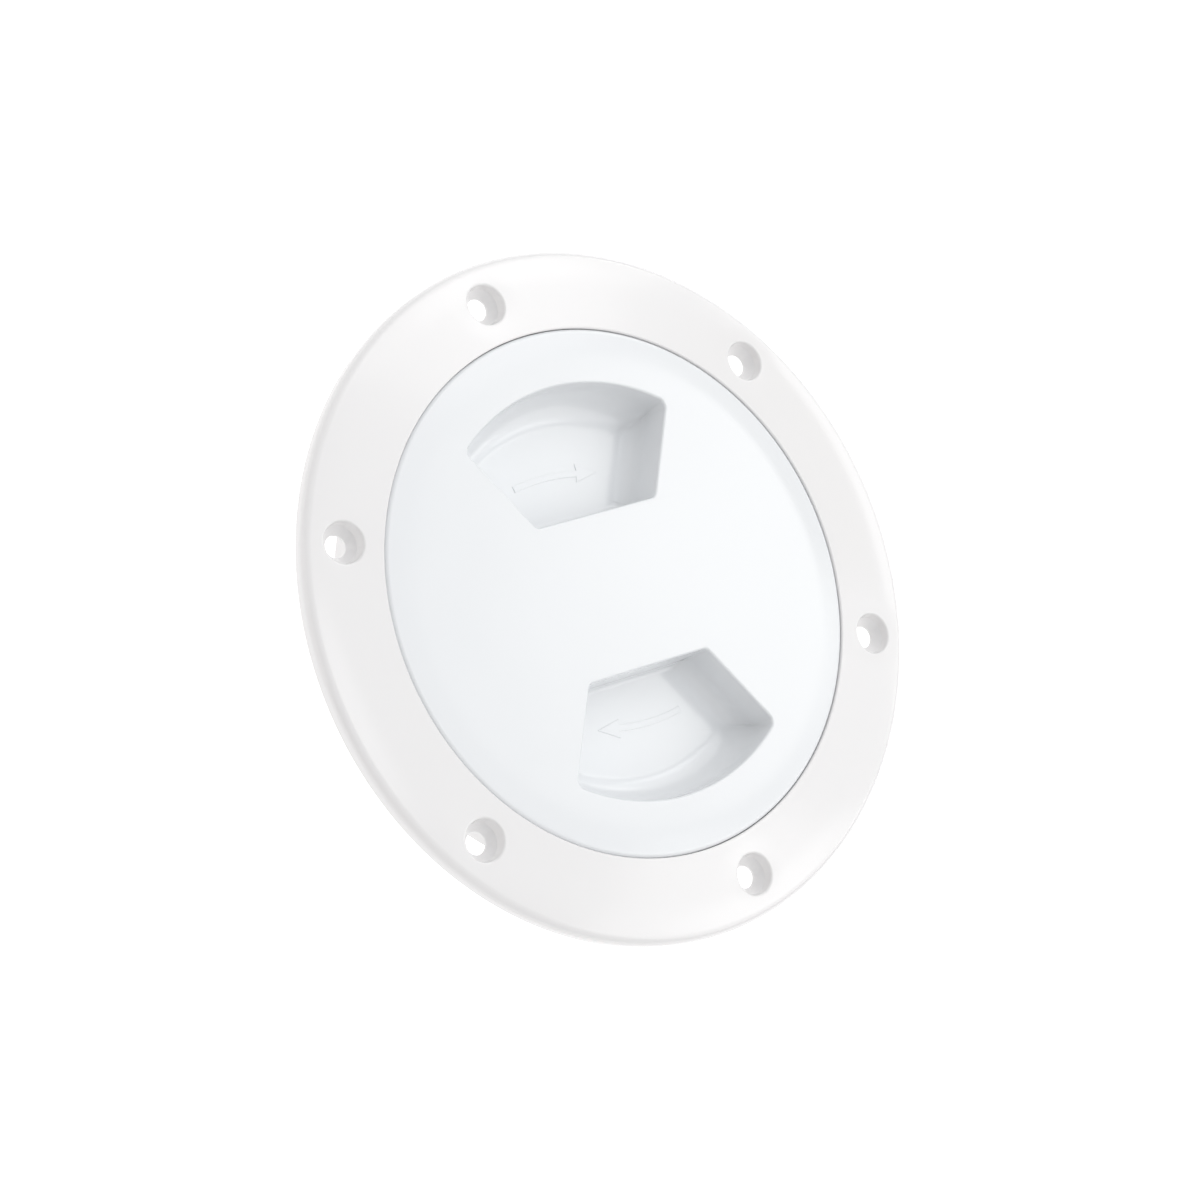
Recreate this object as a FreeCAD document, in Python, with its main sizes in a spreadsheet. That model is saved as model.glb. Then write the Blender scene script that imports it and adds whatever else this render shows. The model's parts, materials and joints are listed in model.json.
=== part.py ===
import FreeCAD, Part
import Sketcher
import math
import os

# Screw-out deck plate: a ring with a threaded collar, a lid that screws into it, and the seal between them.
# Millimetres, +Z up and out of the deck. The origin is the centre of the flange's seating face, and +Y runs
# through the middle of one finger recess while the lid is closed.

SIZES = [
    # The opening that is left when the lid is out, from crest to crest of the ring's thread
    ("clear_opening", 101.6),
    # Thread
    ("thread_height", 1.2),
    ("thread_pitch", 5.0),
    ("thread_foot_width", 2.2),
    ("thread_crest_width", 1.2),
    ("thread_gap", 0.5),
    ("thread_bite", 0.4),
    ("ring_thread_turns", 1.9),
    ("ring_thread_margin", 2.9),
    ("lid_thread_turns", 1.4),
    # Deck ring: the collar, and the seat for the lid above it
    ("collar_depth", 16.0),
    ("collar_wall", 2.6),
    ("collar_lead_in", 0.8),
    ("ledge_width", 2.5),
    ("seat_wall", 2.5),
    # Deck ring: the flange, which falls from its lip to a bend and then faster to its edge
    ("flange_width", 14.5),
    ("lip_height", 4.8),
    ("lip_chamfer", 0.6),
    ("bend_from_edge", 5.0),
    ("fall_to_bend", 0.82),
    ("fall_to_edge", 0.7),
    ("bend_round", 60.0),
    ("edge_round", 2.0),
    # Deck ring: the coring under the flange, with a solid pad round each screw and ribs between them
    ("core_depth", 1.4),
    ("core_inner_rim", 1.8),
    ("core_outer_rim", 3.0),
    ("pad_width", 11.0),
    ("rib_width", 1.6),
    ("web_bite", 0.4),
    # Deck ring: the screw holes
    ("screw_count", 6),
    ("screw_from_edge", 8.5),
    ("screw_first_angle", 38.1),
    ("screw_hole_diameter", 4.6),
    ("screw_seat_height", 0.5),
    ("screw_seat_diameter", 7.7),
    ("screw_mouth_diameter", 8.4),
    # Lid
    ("running_gap", 0.25),
    ("lid_stand", 0.1),
    ("lid_plate", 2.7),
    ("lid_slope_width", 5.1),
    ("lid_slope_fall", 0.2),
    ("lid_rim_thickness", 2.3),
    ("lid_chamfer", 0.6),
    ("mouth_chamfer", 0.4),
    ("skirt_wall", 2.2),
    ("skirt_depth", 11.5),
    ("skirt_lead_in", 0.8),
    ("seal_land", 4.0),
    # Finger recesses
    ("recess_depth", 9.6),
    ("recess_chord", 30.2),
    ("recess_chord_distance", 16.2),
    ("recess_from_skirt", 5.1),
    ("recess_side_angle", 30.0),
    ("recess_draft", 4.0),
    ("recess_outer_round", 6.5),
    ("recess_side_round", 4.0),
    ("recess_inner_round", 1.2),
    ("recess_wall", 2.0),
    # Seal, a little squashed between the rim and the ledge
    ("seal_height", 2.2),
    ("seal_width", 2.4),
    ("seal_corner", 0.65),
    ("seal_gap", 0.2),
    # How far cuts reach past the faces that they break
    ("cut_margin", 1.0),
]

# Radii that follow from the sizes above, from the opening outwards
CREST = "sizes.clear_opening / 2"
ROOT = "%s + sizes.thread_height" % CREST
COLLAR = "%s + sizes.collar_wall" % ROOT
SEAT = "%s + sizes.ledge_width" % ROOT
SPIGOT = "%s + sizes.seat_wall" % SEAT
FLANGE = "%s + sizes.flange_width" % SPIGOT
BEND = "%s - sizes.bend_from_edge" % FLANGE
CORE_INNER = "%s + sizes.core_inner_rim" % SPIGOT
CORE_OUTER = "%s - sizes.core_outer_rim" % FLANGE
SCREW_REACH = "%s - sizes.screw_from_edge" % FLANGE
LID_RIM = "%s - sizes.running_gap" % SEAT
LID_FLAT = "%s - sizes.lid_slope_width" % LID_RIM
LAND = "%s - sizes.thread_gap" % ROOT
SKIRT = "%s - sizes.thread_gap" % CREST
SKIRT_BORE = "%s - sizes.skirt_wall" % SKIRT
RECESS_REACH = "%s - sizes.recess_from_skirt" % SKIRT_BORE

# Heights that follow from them, from the top down
LID_TOP = "sizes.lip_height + sizes.lid_stand"
LID_EDGE_TOP = "%s - sizes.lid_slope_fall" % LID_TOP
BEND_TOP = "sizes.lip_height - sizes.fall_to_bend"
EDGE_TOP = "%s - sizes.fall_to_edge" % BEND_TOP
PLATE_UNDERSIDE = "%s - sizes.lid_plate" % LID_TOP
RIM_UNDERSIDE = "%s - sizes.lid_rim_thickness" % LID_EDGE_TOP
LEDGE = "%s - sizes.seal_height - 2 * sizes.seal_gap" % RIM_UNDERSIDE
LAND_FOOT = "%s - sizes.seal_land" % RIM_UNDERSIDE
SHOULDER = "%s - sizes.collar_wall" % LEDGE
RING_THREAD_START = "-sizes.collar_depth + sizes.ring_thread_margin"
LID_THREAD_START = "%s + sizes.thread_pitch / 2" % RING_THREAD_START

# The flange's height over the middle of a screw
SCREW_TOP = "sizes.lip_height - sizes.fall_to_bend * (%s - (%s)) / (%s - (%s))" % (SCREW_REACH, SEAT, BEND, SEAT)

SAME_PLACE = 0.01

doc = FreeCAD.newDocument("deck_plate")
sheet = doc.addObject("Spreadsheet::Sheet", "sizes")
for row, (alias, number) in enumerate(SIZES, start=1):
    sheet.set("A%d" % row, alias)
    sheet.set("B%d" % row, str(number))
    sheet.setAlias("B%d" % row, alias)
doc.recompute()


def value(expression):
    """The number that an expression of the sheet gives."""
    return float(sheet.evalExpression(expression))


def bind(item, path, expression):
    """Tie one property of an object to an expression of the sheet."""
    item.setExpression(path, expression)


def rounded(before, corner, after, radius):
    """The two ends and the middle of the arc that rounds a corner."""
    back = (before - corner).normalize()
    ahead = (after - corner).normalize()
    half_angle = back.getAngle(ahead) / 2
    reach = radius / math.tan(half_angle)
    middle = corner + (back + ahead).normalize() * (radius / math.sin(half_angle) - radius)
    return corner + back * reach, middle, corner + ahead * reach


def outline(sketch, corners):
    """Draw a closed outline through corners (across, up, radius), all expressions; radius may be left out."""
    spots = [FreeCAD.Vector(value(corner[0]), value(corner[1]), 0) for corner in corners]
    count = len(corners)
    arcs = []
    for index, corner in enumerate(corners):
        if len(corner) == 3:
            arcs.append(rounded(spots[index - 1], spots[index], spots[(index + 1) % count], value(corner[2])))
        else:
            arcs.append((spots[index], None, spots[index]))
    lines = []
    for index in range(count):
        line = Part.LineSegment(arcs[index][2], arcs[(index + 1) % count][0])
        lines.append(sketch.addGeometry(line, False))
    rules = []
    bound = []
    for index, corner in enumerate(corners):
        before = lines[index - 1]
        after = lines[index]
        start, middle, end = arcs[index]
        if middle is None:
            rules.append(Sketcher.Constraint("Coincident", before, 2, after, 1))
            fixed = after
        else:
            # A sketch keeps its arcs anticlockwise, so at a corner that turns right the arc runs backwards
            turn = (spots[index] - spots[index - 1]).cross(spots[(index + 1) % count] - spots[index]).z
            arc = Part.Arc(start, middle, end) if turn > 0 else Part.Arc(end, middle, start)
            arc = sketch.addGeometry(arc, False)
            near = 1 if turn > 0 else 2
            fixed = sketch.addGeometry(Part.Point(spots[index]), True)
            rules.append(Sketcher.Constraint("Tangent", before, 2, arc, near))
            rules.append(Sketcher.Constraint("Tangent", after, 1, arc, 3 - near))
            rules.append(Sketcher.Constraint("PointOnObject", fixed, 1, before))
            rules.append(Sketcher.Constraint("PointOnObject", fixed, 1, after))
            bound.append((len(rules), corner[2]))
            rules.append(Sketcher.Constraint("Radius", arc, value(corner[2])))
        for kind, expression in (("DistanceX", corner[0]), ("DistanceY", corner[1])):
            bound.append((len(rules), expression))
            rules.append(Sketcher.Constraint(kind, -1, 1, fixed, 1, value(expression)))
    sketch.addConstraint(rules)
    for number, expression in bound:
        bind(sketch, "Constraints[%d]" % number, expression)


def new_sketch(body, name, role, corners=None, height="0"):
    """A sketch on one of the body's own planes, raised along the plane's normal."""
    plane = [feature for feature in body.Origin.OriginFeatures if feature.Role == role][0]
    sketch = body.newObject("Sketcher::SketchObject", name)
    sketch.AttachmentSupport = (plane, [""])
    sketch.MapMode = "FlatFace"
    bind(sketch, ".AttachmentOffset.Base.z", height)
    if corners:
        outline(sketch, corners)
    return sketch


def revolve(body, name, corners, kind="PartDesign::Revolution"):
    """Turn an outline about the vertical axis, as solid or as a cut."""
    sketch = new_sketch(body, name + "_outline", "XZ_Plane", corners)
    feature = body.newObject(kind, name)
    feature.Profile = sketch
    feature.ReferenceAxis = (sketch, ["V_Axis"])
    feature.Angle = 360
    doc.recompute()
    return feature


def thread(body, name, wall, crest, bite, start, turns):
    """A helical ridge from inside the wall to its crest; bite is signed, away from the crest."""
    foot = "%s + %s" % (wall, bite)
    half_foot = "sizes.thread_foot_width / 2"
    half_crest = "sizes.thread_crest_width / 2"
    sketch = new_sketch(body, name + "_outline", "XZ_Plane", [
        (foot, "%s - %s" % (start, half_foot)),
        (wall, "%s - %s" % (start, half_foot)),
        (crest, "%s - %s" % (start, half_crest)),
        (crest, "%s + %s" % (start, half_crest)),
        (wall, "%s + %s" % (start, half_foot)),
        (foot, "%s + %s" % (start, half_foot)),
    ])
    ridge = body.newObject("PartDesign::AdditiveHelix", name)
    ridge.Profile = sketch
    ridge.ReferenceAxis = (sketch, ["V_Axis"])
    ridge.Mode = "pitch-turns-angle"
    bind(ridge, "Pitch", "sizes.thread_pitch")
    bind(ridge, "Turns", turns)
    doc.recompute()
    return ridge


def edges_where(shape, test):
    """The names of the edges whose middle point passes the test."""
    names = []
    for index, edge in enumerate(shape.Edges, start=1):
        middle = edge.valueAt((edge.FirstParameter + edge.LastParameter) / 2)
        if test(edge, middle):
            names.append("Edge%d" % index)
    return names


def polar(body, name, originals, count):
    """Repeat features of a body evenly about the vertical axis."""
    axis = [feature for feature in body.Origin.OriginFeatures if feature.Role == "Z_Axis"][0]
    pattern = body.newObject("PartDesign::PolarPattern", name)
    pattern.Originals = originals
    pattern.Axis = (axis, [""])
    pattern.Angle = 360
    bind(pattern, "Occurrences", count)
    body.Tip = pattern
    doc.recompute()
    return pattern


# Deck ring: flange, seat, ledge, threaded collar and the coring under the flange
ring = doc.addObject("PartDesign::Body", "deck_ring")
ring.Label = "deck_ring"
revolve(ring, "ring_section", [
    (ROOT, "-sizes.collar_depth"),
    ("%s - sizes.collar_lead_in" % COLLAR, "-sizes.collar_depth"),
    (COLLAR, "-sizes.collar_depth + sizes.collar_lead_in"),
    (COLLAR, SHOULDER),
    ("%s - sizes.collar_lead_in" % SPIGOT, SHOULDER),
    (SPIGOT, "%s + sizes.collar_lead_in" % SHOULDER),
    (SPIGOT, "0"),
    (CORE_INNER, "0"),
    (CORE_INNER, "sizes.core_depth"),
    (CORE_OUTER, "sizes.core_depth"),
    (CORE_OUTER, "0"),
    (FLANGE, "0"),
    (FLANGE, EDGE_TOP, "sizes.edge_round"),
    (BEND, BEND_TOP, "sizes.bend_round"),
    ("%s + sizes.lip_chamfer" % SEAT, "sizes.lip_height"),
    (SEAT, "sizes.lip_height - sizes.lip_chamfer"),
    (SEAT, LEDGE),
    (ROOT, LEDGE),
])


def web(name, width, angle):
    """A bar across the coring, at an angle round the ring."""
    near = "%s - sizes.web_bite" % CORE_INNER
    far = "%s + sizes.web_bite" % CORE_OUTER
    sketch = new_sketch(ring, name + "_outline", "XY_Plane", [
        (near, "-%s / 2" % width),
        (far, "-%s / 2" % width),
        (far, "%s / 2" % width),
        (near, "%s / 2" % width),
    ])
    bind(sketch, ".AttachmentOffset.Rotation.Angle", angle)
    bar = ring.newObject("PartDesign::Pad", name)
    bar.Profile = sketch
    bind(bar, "Length", "sizes.core_depth + sizes.web_bite")
    doc.recompute()
    return bar


# One screw pad and one rib, each across the coring and up into the flange, then repeated round the ring
screw_pad = web("screw_pad", "sizes.pad_width", "sizes.screw_first_angle")
rib = web("rib", "sizes.rib_width", "sizes.screw_first_angle + 180 / sizes.screw_count")
polar(ring, "pads_and_ribs", [screw_pad, rib], "sizes.screw_count")

# Screw holes: a through hole, a cone for the screw's head and a drafted mouth
half_hole = "sizes.screw_hole_diameter / 2"
half_seat = "sizes.screw_seat_diameter / 2"
cone_top = "(sizes.screw_seat_height + %s - %s)" % (half_seat, half_hole)
mouth_top = "(sizes.lip_height + sizes.cut_margin)"
mouth_flare = "(sizes.screw_mouth_diameter / 2 - %s) / (%s - %s)" % (half_seat, SCREW_TOP, cone_top)
mouth_reach = "%s + %s + %s * (%s - %s)" % (SCREW_REACH, half_seat, mouth_flare, mouth_top, cone_top)
hole_sketch = new_sketch(ring, "screw_hole_outline", "XZ_Plane", [
    (SCREW_REACH, "-sizes.cut_margin"),
    ("%s + %s" % (SCREW_REACH, half_hole), "-sizes.cut_margin"),
    ("%s + %s" % (SCREW_REACH, half_hole), "sizes.screw_seat_height"),
    ("%s + %s" % (SCREW_REACH, half_seat), cone_top),
    (mouth_reach, mouth_top),
    (SCREW_REACH, mouth_top),
])
hole_sketch.AttachmentOffset = FreeCAD.Placement(
    FreeCAD.Vector(), FreeCAD.Rotation(FreeCAD.Vector(0, 1, 0), value("sizes.screw_first_angle")))
bind(hole_sketch, ".AttachmentOffset.Rotation.Angle", "sizes.screw_first_angle")
axis_foot = FreeCAD.Vector(value(SCREW_REACH), 0, 0)
axis_head = FreeCAD.Vector(value(SCREW_REACH), value("sizes.lip_height"), 0)
hole_axis = hole_sketch.addGeometry(Part.LineSegment(axis_foot, axis_head), True)
hole_sketch.addConstraint(Sketcher.Constraint("PointOnObject", hole_axis, 1, -1))
hole_sketch.addConstraint(Sketcher.Constraint("Vertical", hole_axis))
axis_rules = [
    (SCREW_REACH, Sketcher.Constraint("DistanceX", -1, 1, hole_axis, 1, axis_foot.x)),
    ("sizes.lip_height", Sketcher.Constraint("Distance", hole_axis, axis_head.y)),
]
for expression, rule in axis_rules:
    bind(hole_sketch, "Constraints[%d]" % hole_sketch.addConstraint(rule), expression)
screw_hole = ring.newObject("PartDesign::Groove", "screw_hole")
screw_hole.Profile = hole_sketch
screw_hole.ReferenceAxis = (hole_sketch, ["Axis0"])
screw_hole.Angle = 360
doc.recompute()
polar(ring, "screw_holes", [screw_hole], "sizes.screw_count")

thread(ring, "ring_thread", ROOT, CREST, "sizes.thread_bite", RING_THREAD_START, "sizes.ring_thread_turns")

# Lid: plate, rim, land for the seal and threaded skirt
lid_turned = doc.addObject("PartDesign::Body", "lid_turned")
revolve(lid_turned, "lid_section", [
    ("0", PLATE_UNDERSIDE),
    (SKIRT_BORE, PLATE_UNDERSIDE),
    (SKIRT_BORE, "-sizes.skirt_depth"),
    ("%s - sizes.skirt_lead_in" % SKIRT, "-sizes.skirt_depth"),
    (SKIRT, "-sizes.skirt_depth + sizes.skirt_lead_in"),
    (SKIRT, LAND_FOOT),
    (LAND, "%s + sizes.thread_gap" % LAND_FOOT),
    (LAND, RIM_UNDERSIDE),
    (LID_RIM, RIM_UNDERSIDE),
    (LID_RIM, "%s - sizes.lid_chamfer" % LID_EDGE_TOP),
    ("%s - sizes.lid_chamfer" % LID_RIM, LID_EDGE_TOP),
    (LID_FLAT, LID_TOP, "sizes.bend_round"),
    ("0", LID_TOP),
])
thread(lid_turned, "lid_thread", SKIRT, LAND, "-sizes.thread_bite", LID_THREAD_START,
       "sizes.lid_thread_turns")


def recess(name, grow):
    """The form of one finger recess, or with grow as its wall the form of the box that holds it."""
    body = doc.addObject("PartDesign::Body", name)
    lean = "tan(sizes.recess_side_angle)"
    depth = "(sizes.recess_depth + %s)" % grow
    floor = "%s - %s" % (LID_TOP, depth)
    reach = "(%s + %s)" % (RECESS_REACH, grow)
    outer_round = "(sizes.recess_outer_round + %s)" % grow
    near_y = "(sizes.recess_chord_distance - %s)" % grow
    near_x = "(sizes.recess_chord / 2 + %s * (1 / cos(sizes.recess_side_angle) - %s))" % (grow, lean)
    far_y = "(%s + sizes.recess_outer_round)" % reach
    far_x = "(%s + (%s - %s) * %s)" % (near_x, far_y, near_y, lean)
    plan = new_sketch(body, name + "_plan", "XY_Plane", [
        ("-%s" % near_x, near_y),
        (near_x, near_y),
        (far_x, far_y),
        ("-%s" % far_x, far_y),
    ], height=LID_TOP)
    block = body.newObject("PartDesign::Pad", name + "_block")
    block.Profile = plan
    block.Reversed = True
    bind(block, "Length", depth)
    bind(block, "TaperAngle", "-sizes.recess_draft")
    doc.recompute()

    # The floor meets the two sides in wide rounds, and the wall along the chord in a tight one
    def round_floor(base, label, radius, place):
        names = edges_where(base.Shape, lambda edge, point:
                            abs(point.z - value(floor)) < SAME_PLACE and place(point))
        fillet = body.newObject("PartDesign::Fillet", name + label)
        fillet.Base = (base, names)
        bind(fillet, "Radius", "%s + %s" % (radius, grow))
        doc.recompute()
        return fillet

    halfway = (value(near_y) + value(far_y)) / 2
    sides = round_floor(block, "_side_round", "sizes.recess_side_round",
                        lambda point: abs(point.x) > SAME_PLACE)
    round_floor(sides, "_inner_round", "sizes.recess_inner_round",
                lambda point: abs(point.x) < SAME_PLACE and point.y < halfway)

    # The outer wall is turned about the lid's axis, with its own round to the floor
    wall_foot = "(%s - %s * tan(sizes.recess_draft))" % (reach, depth)
    bowl_top = "%s + sizes.cut_margin" % LID_TOP
    bowl_floor = "%s - sizes.cut_margin" % floor
    revolve(body, name + "_bowl", [
        ("%s + sizes.cut_margin * tan(sizes.recess_draft)" % reach, bowl_top),
        ("2 * %s" % reach, bowl_top),
        ("2 * %s" % reach, bowl_floor),
        ("%s - %s" % (wall_foot, outer_round), bowl_floor),
        ("%s - %s" % (wall_foot, outer_round), floor),
        (wall_foot, floor, outer_round),
    ], kind="PartDesign::Groove")
    other = doc.addObject("Part::Mirroring", name + "_other")
    other.Source = body
    other.Normal = FreeCAD.Vector(0, 1, 0)
    return [body, other]


boxes = recess("recess_box", "sizes.recess_wall")
hollows = recess("recess_hollow", "0")
lid_blank = doc.addObject("Part::MultiFuse", "lid_blank")
lid_blank.Shapes = [lid_turned] + boxes
lid_blank.Refine = False
both_hollows = doc.addObject("Part::MultiFuse", "both_hollows")
both_hollows.Shapes = hollows
lid_hollowed = doc.addObject("Part::Cut", "lid_hollowed")
lid_hollowed.Base = lid_blank
lid_hollowed.Tool = both_hollows
lid_hollowed.Refine = False
doc.recompute()

# The recesses' mouths are broken where they meet the lid's flat top
def on_mouth(edge, point):
    """Whether an edge of the hollowed lid is the mouth of a recess."""
    nearest = value("sizes.recess_chord_distance") - SAME_PLACE
    farthest = value(RECESS_REACH) + SAME_PLACE
    return abs(point.z - value(LID_TOP)) < SAME_PLACE and nearest < math.hypot(point.x, point.y) < farthest


lid = doc.addObject("Part::Chamfer", "lid")
lid.Base = lid_hollowed
lid.Edges = [
    (int(name[4:]), value("sizes.mouth_chamfer"), value("sizes.mouth_chamfer"))
    for name in edges_where(lid_hollowed.Shape, on_mouth)]
lid.Label = "lid"

# Seal: a ring wider than it is high, with flats where it is squashed, turned about the lid's axis
seal = doc.addObject("PartDesign::Body", "o_ring")
seal.Label = "o_ring"
seal_in = "%s + sizes.seal_gap" % LAND
seal_out = "%s + sizes.seal_width" % seal_in
seal_top = "%s - sizes.seal_gap" % RIM_UNDERSIDE
seal_foot = "%s - sizes.seal_height" % seal_top
revolve(seal, "seal_section", [
    ("%s + sizes.seal_corner" % seal_in, seal_foot),
    ("%s - sizes.seal_corner" % seal_out, seal_foot),
    (seal_out, "%s + sizes.seal_corner" % seal_foot),
    (seal_out, "%s - sizes.seal_corner" % seal_top),
    ("%s - sizes.seal_corner" % seal_out, seal_top),
    ("%s + sizes.seal_corner" % seal_in, seal_top),
    (seal_in, "%s - sizes.seal_corner" % seal_top),
    (seal_in, "%s + sizes.seal_corner" % seal_foot),
])

for item in doc.Objects:
    faults = [state for state in item.State if state in ("Invalid", "Error")]
    if faults:
        raise RuntimeError("%s: %s" % (item.Label, ", ".join(faults)))

os.makedirs("parts", exist_ok=True)
for piece in (ring, lid, seal):
    shape = piece.Shape
    if shape.isNull() or not shape.isValid():
        raise RuntimeError("%s has no valid shape" % piece.Label)
    if len(shape.Solids) != 1:
        raise RuntimeError("%s is %d solids, not one" % (piece.Label, len(shape.Solids)))
    shape.exportStep("parts/%s.step" % piece.Label)
    print("%s %.2f cm3, %d faces" % (piece.Label, shape.Volume / 1000, len(shape.Faces)))
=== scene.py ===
"""Looks of a screw-out deck plate: glossy white mouldings, a black seal and the stage it is photographed on."""

import json
import math

import bmesh
import bpy
import numpy as np
from mathutils import Matrix, Vector
from mathutils.geometry import tessellate_polygon


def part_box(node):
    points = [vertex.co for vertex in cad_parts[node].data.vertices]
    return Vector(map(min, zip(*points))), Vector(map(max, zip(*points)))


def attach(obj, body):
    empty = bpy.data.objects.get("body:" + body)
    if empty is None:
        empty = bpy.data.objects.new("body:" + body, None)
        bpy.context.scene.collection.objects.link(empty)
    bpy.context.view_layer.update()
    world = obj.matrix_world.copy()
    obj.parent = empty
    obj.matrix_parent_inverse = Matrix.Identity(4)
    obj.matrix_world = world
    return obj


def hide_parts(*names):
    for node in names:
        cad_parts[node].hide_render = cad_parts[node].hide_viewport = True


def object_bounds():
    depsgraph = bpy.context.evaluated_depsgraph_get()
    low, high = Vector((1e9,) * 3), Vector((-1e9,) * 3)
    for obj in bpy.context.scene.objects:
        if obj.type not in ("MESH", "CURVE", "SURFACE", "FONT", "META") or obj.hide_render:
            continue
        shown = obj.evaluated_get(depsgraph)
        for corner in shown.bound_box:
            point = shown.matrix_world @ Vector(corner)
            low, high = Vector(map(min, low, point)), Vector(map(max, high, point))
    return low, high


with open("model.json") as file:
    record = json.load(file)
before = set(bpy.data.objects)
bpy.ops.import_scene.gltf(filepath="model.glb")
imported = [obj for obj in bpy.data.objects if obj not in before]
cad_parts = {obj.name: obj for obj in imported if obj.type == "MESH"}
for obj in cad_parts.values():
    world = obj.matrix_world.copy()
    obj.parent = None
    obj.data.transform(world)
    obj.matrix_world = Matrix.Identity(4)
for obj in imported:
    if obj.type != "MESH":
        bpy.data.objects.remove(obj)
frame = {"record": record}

CAD_BOX = [list(corner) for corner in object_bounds()]

bl_info = {
    "name": "Screw-out deck plate",
    "version": (1, 0, 0),
    "blender": (4, 5, 0),
    "location": "View3D > Sidebar > Deck plate",
    "description": "Builds the fine mouldings, finishes and studio of a screw-out deck plate",
    "category": "Object",
}

MM = 0.001
CAD_LOW, CAD_HIGH = (Vector(corner) for corner in CAD_BOX)
LID_LOW, LID_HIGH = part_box("lid")
SEAL_LOW, SEAL_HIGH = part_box("o_ring")
SCREWS = [mount for mount in frame["record"]["mounts"] if mount["name"] == "screw_holes"][0]["dims"]


def linear(hex_colour):
    """A six-digit sRGB colour as linear red, green and blue."""
    shares = [int(hex_colour[place:place + 2], 16) / 255 for place in (0, 2, 4)]
    return [share / 12.92 if share <= 0.04045 else ((share + 0.055) / 1.055) ** 2.4 for share in shares]


def length(name, description, millimetres):
    """A size that is kept in metres and shown in the scene's unit."""
    return bpy.props.FloatProperty(name=name, description=description, default=millimetres * MM, unit="LENGTH")


def colour(name, description, hex_colour):
    """A colour given by its sRGB hex value."""
    return bpy.props.FloatVectorProperty(
        name=name, description=description, default=linear(hex_colour), subtype="COLOR", min=0, max=1)


class DeckRingSizes(bpy.types.PropertyGroup):
    """Sizes of the flanged ring that is screwed to the deck."""

    flange: length("Flange", "Diameter of the flange", CAD_HIGH.x * 2 / MM)
    edge: length("Edge height", "Height of the flange's top, carried on to its rim", 3.28)
    edge_round: length("Edge round", "Radius between the flange's top and its rim", 2.0)
    bend: length("Bend", "Diameter at which the flange's top turns down", 133.0)
    bend_height: length("Bend height", "Height of the flange's top at the bend", 3.98)
    bend_round: length("Bend round", "Radius in which the flange's top turns down", 60.0)
    lip: length("Lip height", "Height of the flange's top beside the lid", 4.8)
    lip_round: length("Lip round", "Radius between the flange's top and the seat", 0.35)
    seat: length("Seat", "Diameter of the seat that the lid sinks into", 109.0)
    collar_depth: length("Collar depth", "How far the collar reaches below the deck", -CAD_LOW.z / MM)
    screw_circle: length("Screw circle", "Diameter of the circle of screws", SCREWS["pcd_mm"])
    screw_hole: length("Screw hole", "Diameter of each screw hole", SCREWS["hole_r_mm"] * 2)
    screw_mouth: length("Screw mouth", "Diameter of each screw hole's mouth", 8.4)
    sink_depth: length("Sink mark depth", "How far the flange sinks in over each screw's pad", 0.2)
    sink_reach: length("Sink mark reach", "Radius of the sink mark round each screw", 8.5)


class LidSizes(bpy.types.PropertyGroup):
    """Sizes of the lid and its two finger recesses."""

    rim: length("Rim", "Diameter of the lid, a little wider than its solid, for a fine seam", LID_HIGH.x * 2 / MM + 0.38)
    top: length("Top", "Height of the lid's flat top", LID_HIGH.z / MM)
    flat: length("Flat", "Diameter of the flat part of the top", 98.3)
    rim_round: length("Rim round", "Radius of the top edge of the lid's rim", 1.0)
    recess_depth: length("Recess depth", "Depth of the finger recesses", 9.6)
    recess_chord: length("Recess chord", "Length of a recess's inner side", 30.2)
    recess_from_axis: length("Recess distance", "From the lid's axis to a recess's inner side", 16.2)
    recess_arc: length("Recess arc", "Radius of a recess's outer side", 43.0)
    recess_corner: length("Recess corner", "Radius of a recess's corners, seen from above", 1.4)
    recess_mouth: length("Recess mouth", "Radius of the edge round a recess's mouth", 0.5)
    seal_width: length("Seal width", "Width of the seal's section", 2.4)
    arrow_shaft: length("Arrow shaft", "Width of the raised arrow's shaft", 1.3)
    arrow_rise: length("Arrow rise", "How far the arrow stands up from the recess's floor", 0.16)


class FinishColours(bpy.types.PropertyGroup):
    """Colours of the plastics, the seal and the studio."""

    ring: colour("Ring", "Colour of the ring's plastic", "E9E8E8")
    lid: colour("Lid", "Colour of the lid's plastic", "E6E8EA")
    seal: colour("Seal", "Colour of the rubber seal", "141416")
    table: colour("Light table", "Colour of the light table's opal top", "8C8C8C")


class StudioSizes(bpy.types.PropertyGroup):
    """Where the camera stands, as seen from the middle of the plate's seating face."""

    distance: length("Distance", "From the camera to the plate, along the line of sight", 715.55)
    aside: length("Aside", "How far the plate lies right of the picture's centre", 1.96)
    above: length("Above", "How far the plate lies above the picture's centre", 1.066)
    azimuth: bpy.props.FloatProperty(
        name="Azimuth", description="Direction from the plate to the camera, seen from above",
        default=math.radians(185.8), subtype="ANGLE")
    elevation: bpy.props.FloatProperty(
        name="Elevation", description="Angle from the deck up to the camera",
        default=math.radians(53.85), subtype="ANGLE")
    roll: bpy.props.FloatProperty(
        name="Roll", description="How far the camera is turned about its line of sight",
        default=math.radians(66.6), subtype="ANGLE")
    lens: bpy.props.FloatProperty(
        name="Lens", description="Focal length on a sensor 36 mm wide, in millimetres", default=106.77)


def add_node(tree, kind, settings=None, links=None):
    """Add a node, give its sockets or options their values, and link its inputs to other nodes' outputs."""
    node = tree.nodes.new(kind)
    for name, setting in (settings or {}).items():
        if isinstance(name, int) or name in node.inputs:
            node.inputs[name].default_value = setting
        else:
            setattr(node, name, setting)
    for name, source in (links or {}).items():
        tree.links.new(source, node.inputs[name])
    return node


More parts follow.
